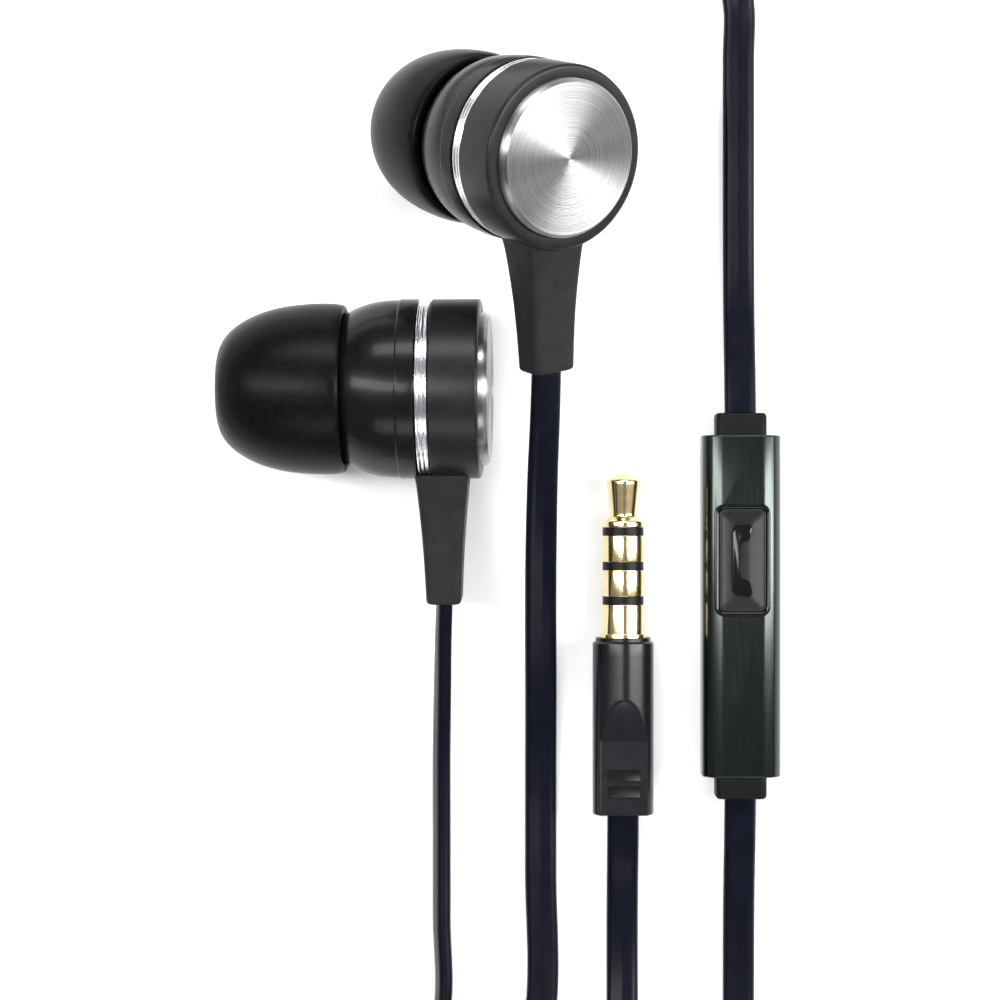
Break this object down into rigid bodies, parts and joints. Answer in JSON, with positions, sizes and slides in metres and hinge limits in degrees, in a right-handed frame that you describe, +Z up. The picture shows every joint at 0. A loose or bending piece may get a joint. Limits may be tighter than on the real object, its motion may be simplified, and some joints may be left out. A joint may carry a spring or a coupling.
{
  "type": "wired earphones",
  "caption": "In-ear earphones on a flat cord, with an in-line call button and microphone and a 3.5 mm four-contact plug.",
  "frame": {"origin": "on the table below the middle of the two earbuds, at the centre of their own box", "axes": "+Z up from the table, +Y from the cord ends towards the earbuds' far side and along the plug's pin, +X to the right"},
  "size_m": [0.0713, 0.1368, 0.024],
  "materials": {
    "tip_rubber": "matte black silicone",
    "screen": "fine woven steel mesh",
    "shell_gloss": "polished black plastic",
    "ring_chrome": "polished chrome plating",
    "shell_satin": "satin black plastic",
    "disc_metal": "spun aluminium with fine circular grooves",
    "stem_rubber": "matte dark grey rubber",
    "driver_plastic": "moulded black plastic",
    "film": "thin clear film",
    "copper": "enamelled copper wire",
    "steel": "plated steel",
    "board": "green circuit board",
    "clamp_brass": "stamped brass",
    "sleeve_metal": "satin gunmetal anodised sleeve",
    "inner_plastic": "moulded dark plastic",
    "bezel_gloss": "polished black plastic",
    "button_gloss": "semi-gloss black plastic",
    "collar_rubber": "matte black rubber",
    "plug_gold": "polished gold plating",
    "insulator": "black plastic bands",
    "barrel_rubber": "satin black moulding",
    "splitter_rubber": "matte black moulding",
    "cord_rubber": "smooth blue-black flat cord",
    "tie_rubber": "soft black rubber tie"
  },
  "bodies": {
    "earphones": {"left_nozzle_screen": "screen", "left_front_shell": "shell_gloss", "left_trim_ring": "ring_chrome", "left_rear_shell": "shell_satin", "left_back_disc": "disc_metal", "left_strain_relief": "stem_rubber", "left_driver_frame": "driver_plastic", "left_surround": "film", "left_top_plate": "steel", "left_magnet": "steel", "left_yoke": "steel", "left_terminal_board": "board", "left_cable_clamp": "clamp_brass", "right_nozzle_screen": "screen", "right_front_shell": "shell_gloss", "right_trim_ring": "ring_chrome", "right_rear_shell": "shell_satin", "right_back_disc": "disc_metal", "right_strain_relief": "stem_rubber", "right_driver_frame": "driver_plastic", "right_surround": "film", "right_top_plate": "steel", "right_magnet": "steel", "right_yoke": "steel", "right_terminal_board": "board", "right_cable_clamp": "clamp_brass", "remote_sleeve": "sleeve_metal", "remote_carrier": "inner_plastic", "remote_board": "board", "button_bezel": "bezel_gloss", "switch_body": "inner_plastic", "microphone": "steel", "upper_collar": "collar_rubber", "lower_collar": "collar_rubber", "plug_tip": "plug_gold", "plug_ring_front": "plug_gold", "plug_ring_rear": "plug_gold", "plug_sleeve": "plug_gold", "plug_insulators": "insulator", "plug_core": "inner_plastic", "plug_barrel": "barrel_rubber", "splitter_cover": "splitter_rubber", "splitter_base": "splitter_rubber", "left_cord": "cord_rubber", "right_cord": "cord_rubber", "upper_cord": "cord_rubber", "lower_cord": "cord_rubber", "plug_cord": "cord_rubber", "cord_hank": "cord_rubber", "cable_tie": "tie_rubber"},
    "left_tip": {"left_ear_tip": "tip_rubber"},
    "right_tip": {"right_ear_tip": "tip_rubber"},
    "left_cone": {"left_diaphragm": "film", "left_voice_coil": "copper"},
    "right_cone": {"right_diaphragm": "film", "right_voice_coil": "copper"},
    "button": {"call_button": "button_gloss"},
    "plunger": {"switch_plunger": "clamp_brass"}
  },
  "joints": [
    {"name": "left_tip_pull", "type": "slide", "parent": "earphones", "child": "left_tip", "axis": [-0.999, 0, -0.0454], "range_m": [0, 0.0044]},
    {"name": "right_tip_pull", "type": "slide", "parent": "earphones", "child": "right_tip", "axis": [-0.571, 0.2226, -0.7902], "range_m": [0, 0.0044]},
    {"name": "call_button_press", "type": "slide", "parent": "earphones", "child": "button", "axis": [0, 0, -1], "range_m": [0, 0.00025], "stiffness_N_per_m": 1500, "springref_m": -0.0001},
    {"name": "switch_plunger_press", "type": "slide", "parent": "earphones", "child": "plunger", "axis": [0, 0, -1], "range_m": [0, 0.00025]},
    {"name": "left_cone_travel", "type": "slide", "parent": "earphones", "child": "left_cone", "axis": [0.999, 0, 0.0454], "range_m": [-0.00015, 0.00015], "stiffness_N_per_m": 60, "deforming": ["left_surround"]},
    {"name": "right_cone_travel", "type": "slide", "parent": "earphones", "child": "right_cone", "axis": [0.571, -0.2226, 0.7902], "range_m": [-0.00015, 0.00015], "stiffness_N_per_m": 60, "deforming": ["right_surround"]}
  ],
  "couplings": [
    {"joint": "switch_plunger_press", "follows": "call_button_press", "ratio": 1}
  ]
}
